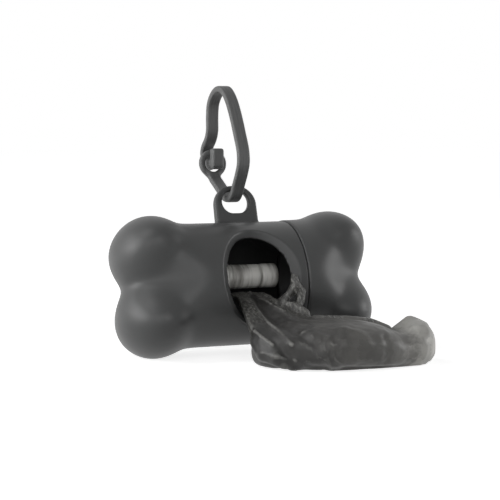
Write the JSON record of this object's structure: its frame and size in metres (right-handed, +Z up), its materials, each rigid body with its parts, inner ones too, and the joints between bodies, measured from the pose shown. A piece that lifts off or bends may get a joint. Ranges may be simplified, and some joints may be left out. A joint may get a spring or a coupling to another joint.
{
  "type": "dog waste bag dispenser",
  "caption": "Bone-shaped plastic holder for rolls of thin bags, with a round side hole, a pull-off end and a strap that buttons into its own ring.",
  "frame": {"origin": "middle of the bone's long axis, halfway between its two ends", "axes": "+X along the bone towards the end that pulls off, -Y towards the side with the bag hole, +Z up as the part rests, with the bone tipped back 15.5 degrees about X"},
  "size_m": [0.0883, 0.0843, 0.085],
  "materials": {
    "shell_plastic": "fine satin, dark grey",
    "card": "plain wound card",
    "bag_film_roll": "thin film wound tight, silvery sheen",
    "bag_film": "crumpled thin film, slightly see-through",
    "strap_rubber": "soft satin, dark grey"
  },
  "bodies": {
    "shell": {"body_shell": "shell_plastic", "roll_spindle": "shell_plastic", "pulled_bag": "bag_film"},
    "cap": {"end_cap": "shell_plastic"},
    "roll": {"roll_core": "card", "bag_roll": "bag_film_roll"},
    "strap": {"strap_clip": "strap_rubber"}
  },
  "joints": [
    {"name": "cap_slide", "type": "slide", "parent": "shell", "child": "cap", "axis": [1, 0, 0], "range_m": [0, 0.03]},
    {"name": "roll_spin", "type": "hinge", "parent": "shell", "child": "roll", "pos_m": [0, 0.00059, 0.00212], "axis": [1, 0, 0], "continuous": true},
    {"name": "strap_swing", "type": "hinge", "parent": "shell", "child": "strap", "pos_m": [-0.0004, 0.00826, 0.02978], "axis": [1, 0, 0], "range_deg": [-45, 25]}
  ]
}
